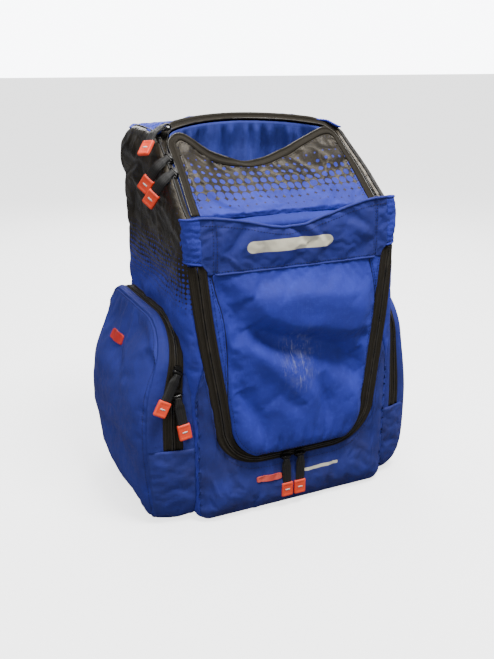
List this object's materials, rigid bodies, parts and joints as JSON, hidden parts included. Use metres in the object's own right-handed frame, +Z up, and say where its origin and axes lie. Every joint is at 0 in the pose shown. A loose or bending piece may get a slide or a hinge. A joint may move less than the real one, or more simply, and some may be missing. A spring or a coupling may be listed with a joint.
{
  "type": "sports disc backpack",
  "caption": "Soft backpack with a zipped front door, sloping zipped lid, open front pocket, zipped side pockets and padded shoulder straps.",
  "frame": {"origin": "on the ground under the middle of the body, in the plane that the base rests on", "axes": "+Z up; -Y towards the door, away from the wearer; +X to the right for a viewer who faces the door"},
  "size_m": [0.4084, 0.3505, 0.517],
  "materials": {
    "royal_nylon": "woven nylon, plain weave, light sheen",
    "navy_lining": "lining nylon, matt",
    "coated_black": "black coated nylon fading into blue through a field of dots",
    "zip_tape": "woven zip tape with coil",
    "black_webbing": "ribbed nylon webbing",
    "black_mesh": "spacer mesh over foam",
    "black_metal": "black lacquered zinc",
    "orange_rubber": "soft moulded rubber",
    "coral_label": "moulded label, blank",
    "black_acetal": "moulded acetal, satin",
    "stiffener": "polyethylene sheet, matt"
  },
  "bodies": {
    "pack": {"base_panel": "navy_lining", "base_board": "stiffener", "back_panel": "royal_nylon", "frame_sheet": "stiffener", "side_panel_left": "coated_black", "side_panel_right": "coated_black", "front_panel": "royal_nylon", "yoke_panel": "royal_nylon", "putter_pocket": "royal_nylon", "top_floor": "navy_lining", "disc_dividers": "navy_lining", "door_zip_body_tape": "zip_tape", "top_zip_body_tape": "zip_tape", "pocket_left_shell": "royal_nylon", "pocket_right_shell": "royal_nylon", "pocket_left_body_tape": "zip_tape", "pocket_right_body_tape": "zip_tape", "back_pads": "black_mesh", "strap_roots": "black_webbing", "front_label": "coral_label"},
    "door": {"door_panel": "royal_nylon", "door_zip_tape": "zip_tape"},
    "lid": {"lid_panel": "coated_black", "lid_zip_tape": "zip_tape"},
    "pocket_left_flap": {"pocket_left_flap": "royal_nylon", "pocket_left_flap_tape": "zip_tape", "pocket_left_label": "coral_label"},
    "pocket_right_flap": {"pocket_right_flap": "royal_nylon", "pocket_right_flap_tape": "zip_tape", "pocket_right_label": "coral_label"},
    "slider_door_left": {"slider_door_left": "black_metal"},
    "pull_door_left": {"pull_door_left": "orange_rubber"},
    "slider_door_right": {"slider_door_right": "black_metal"},
    "pull_door_right": {"pull_door_right": "orange_rubber"},
    "slider_lid_upper": {"slider_lid_upper": "black_metal"},
    "pull_lid_upper": {"pull_lid_upper": "orange_rubber"},
    "slider_lid_lower": {"slider_lid_lower": "black_metal"},
    "pull_lid_lower": {"pull_lid_lower": "orange_rubber"},
    "slider_arch": {"slider_arch": "black_metal"},
    "pull_arch": {"pull_arch": "orange_rubber"},
    "slider_pocket_left_upper": {"slider_pocket_left_upper": "black_metal"},
    "pull_pocket_left_upper": {"pull_pocket_left_upper": "orange_rubber"},
    "slider_pocket_left_lower": {"slider_pocket_left_lower": "black_metal"},
    "pull_pocket_left_lower": {"pull_pocket_left_lower": "orange_rubber"},
    "slider_pocket_right_front": {"slider_pocket_right_front": "black_metal"},
    "pull_pocket_right_front": {"pull_pocket_right_front": "orange_rubber"},
    "slider_pocket_right_rear": {"slider_pocket_right_rear": "black_metal"},
    "pull_pocket_right_rear": {"pull_pocket_right_rear": "orange_rubber"},
    "shoulder_strap_left": {"strap_left_pad": "black_mesh", "strap_left_webbing": "black_webbing", "strap_left_adjuster": "black_acetal"},
    "sternum_strap_left": {"sternum_left_webbing": "black_webbing", "sternum_buckle_male": "black_acetal"},
    "shoulder_strap_right": {"strap_right_pad": "black_mesh", "strap_right_webbing": "black_webbing", "strap_right_adjuster": "black_acetal"},
    "sternum_strap_right": {"sternum_right_webbing": "black_webbing", "sternum_buckle_female": "black_acetal"},
    "grab_handle": {"grab_handle": "black_webbing"}
  },
  "joints": [
    {"name": "door_hinge", "type": "hinge", "parent": "pack", "child": "door", "pos_m": [0, -0.1395, 0.337], "axis": [-1, 0, 0], "range_deg": [0, 120]},
    {"name": "lid_hinge", "type": "hinge", "parent": "pack", "child": "lid", "pos_m": [0, -0.117, 0.41], "axis": [1, 0, 0], "range_deg": [0, 110]},
    {"name": "pocket_left_hinge", "type": "hinge", "parent": "pack", "child": "pocket_left_flap", "pos_m": [-0.203, -0.112, 0.107], "axis": [0, -0.8814, -0.4724], "range_deg": [0, 100]},
    {"name": "pocket_right_hinge", "type": "hinge", "parent": "pack", "child": "pocket_right_flap", "pos_m": [0.203, -0.112, 0.107], "axis": [0, 0.8814, 0.4724], "range_deg": [0, 100]},
    {"name": "door_left_slide", "type": "slide", "parent": "pack", "child": "slider_door_left", "axis": [-1, 0, 0], "range_m": [0, 0.03]},
    {"name": "door_left_pull", "type": "hinge", "parent": "slider_door_left", "child": "pull_door_left", "pos_m": [-0.02, -0.147, 0.0733], "axis": [-1, 0, 0], "range_deg": [0, 110]},
    {"name": "door_right_slide", "type": "slide", "parent": "pack", "child": "slider_door_right", "axis": [1, 0, 0], "range_m": [0, 0.048]},
    {"name": "door_right_pull", "type": "hinge", "parent": "slider_door_right", "child": "pull_door_right", "pos_m": [0.002, -0.147, 0.0733], "axis": [-1, 0, 0], "range_deg": [0, 110]},
    {"name": "lid_upper_slide", "type": "slide", "parent": "pack", "child": "slider_lid_upper", "axis": [0, 0.7071, 0.7071], "range_m": [0, 0.016]},
    {"name": "lid_upper_pull", "type": "hinge", "parent": "slider_lid_upper", "child": "pull_lid_upper", "pos_m": [-0.1367, -0.06202, 0.47523], "axis": [-0.5, 0.6124, 0.6124], "range_deg": [0, 100]},
    {"name": "lid_lower_slide", "type": "slide", "parent": "pack", "child": "slider_lid_lower", "axis": [0, -0.7071, -0.7071], "range_m": [0, 0.05]},
    {"name": "lid_lower_pull", "type": "hinge", "parent": "slider_lid_lower", "child": "pull_lid_lower", "pos_m": [-0.1367, -0.07758, 0.45967], "axis": [-0.5, 0.6124, 0.6124], "range_deg": [0, 100]},
    {"name": "arch_slide", "type": "slide", "parent": "pack", "child": "slider_arch", "axis": [0.5477, 0.8297, 0.1078], "range_m": [0, 0.01]},
    {"name": "arch_pull", "type": "hinge", "parent": "slider_arch", "child": "pull_arch", "pos_m": [-0.12826, -0.03213, 0.51084], "axis": [-0.4906, 0.866, -0.0965], "range_deg": [0, 80]},
    {"name": "pocket_left_upper_slide", "type": "slide", "parent": "pack", "child": "slider_pocket_left_upper", "axis": [0, 0, 1], "range_m": [-0.006, 0.01]},
    {"name": "pocket_left_upper_pull", "type": "hinge", "parent": "slider_pocket_left_upper", "child": "pull_pocket_left_upper", "pos_m": [-0.1633, -0.1185, 0.218], "axis": [-0.866, 0, 0.5], "range_deg": [0, 100]},
    {"name": "pocket_left_lower_slide", "type": "slide", "parent": "pack", "child": "slider_pocket_left_lower", "axis": [0, 0, -1], "range_m": [0, 0.065]},
    {"name": "pocket_left_lower_pull", "type": "hinge", "parent": "slider_pocket_left_lower", "child": "pull_pocket_left_lower", "pos_m": [-0.1633, -0.1185, 0.187], "axis": [-0.9903, 0, -0.1392], "range_deg": [0, 100]},
    {"name": "pocket_right_front_slide", "type": "slide", "parent": "pack", "child": "slider_pocket_right_front", "axis": [0, -1, 0], "range_m": [-0.006, 0.014]},
    {"name": "pocket_right_front_pull", "type": "hinge", "parent": "slider_pocket_right_front", "child": "pull_pocket_right_front", "pos_m": [0.1633, -0.03, 0.2825], "axis": [0.866, -0.5, 0], "range_deg": [0, 100]},
    {"name": "pocket_right_rear_slide", "type": "slide", "parent": "pack", "child": "slider_pocket_right_rear", "axis": [0, 1, 0], "range_m": [0, 0.055]},
    {"name": "pocket_right_rear_pull", "type": "hinge", "parent": "slider_pocket_right_rear", "child": "pull_pocket_right_rear", "pos_m": [0.1633, 0.001, 0.2825], "axis": [0.9903, 0.1392, 0], "range_deg": [0, 100]},
    {"name": "shoulder_strap_left_swing", "type": "hinge", "parent": "pack", "child": "shoulder_strap_left", "pos_m": [-0.06, 0.139, 0.438], "axis": [0.1391, 0.0331, 0.9897], "range_deg": [-15, 15]},
    {"name": "sternum_strap_left_swing", "type": "hinge", "parent": "shoulder_strap_left", "child": "sternum_strap_left", "pos_m": [-0.07559, 0.194, 0.32709], "axis": [0, -1, 0], "range_deg": [0, 80]},
    {"name": "shoulder_strap_right_swing", "type": "hinge", "parent": "pack", "child": "shoulder_strap_right", "pos_m": [0.06, 0.139, 0.438], "axis": [-0.1391, 0.0331, 0.9897], "range_deg": [-15, 15]},
    {"name": "sternum_strap_right_swing", "type": "hinge", "parent": "shoulder_strap_right", "child": "sternum_strap_right", "pos_m": [0.07559, 0.194, 0.32709], "axis": [0, 1, 0], "range_deg": [0, 80]},
    {"name": "grab_handle_swing", "type": "hinge", "parent": "pack", "child": "grab_handle", "pos_m": [0, 0.1285, 0.488], "axis": [1, 0, 0], "range_deg": [0, 170]}
  ]
}
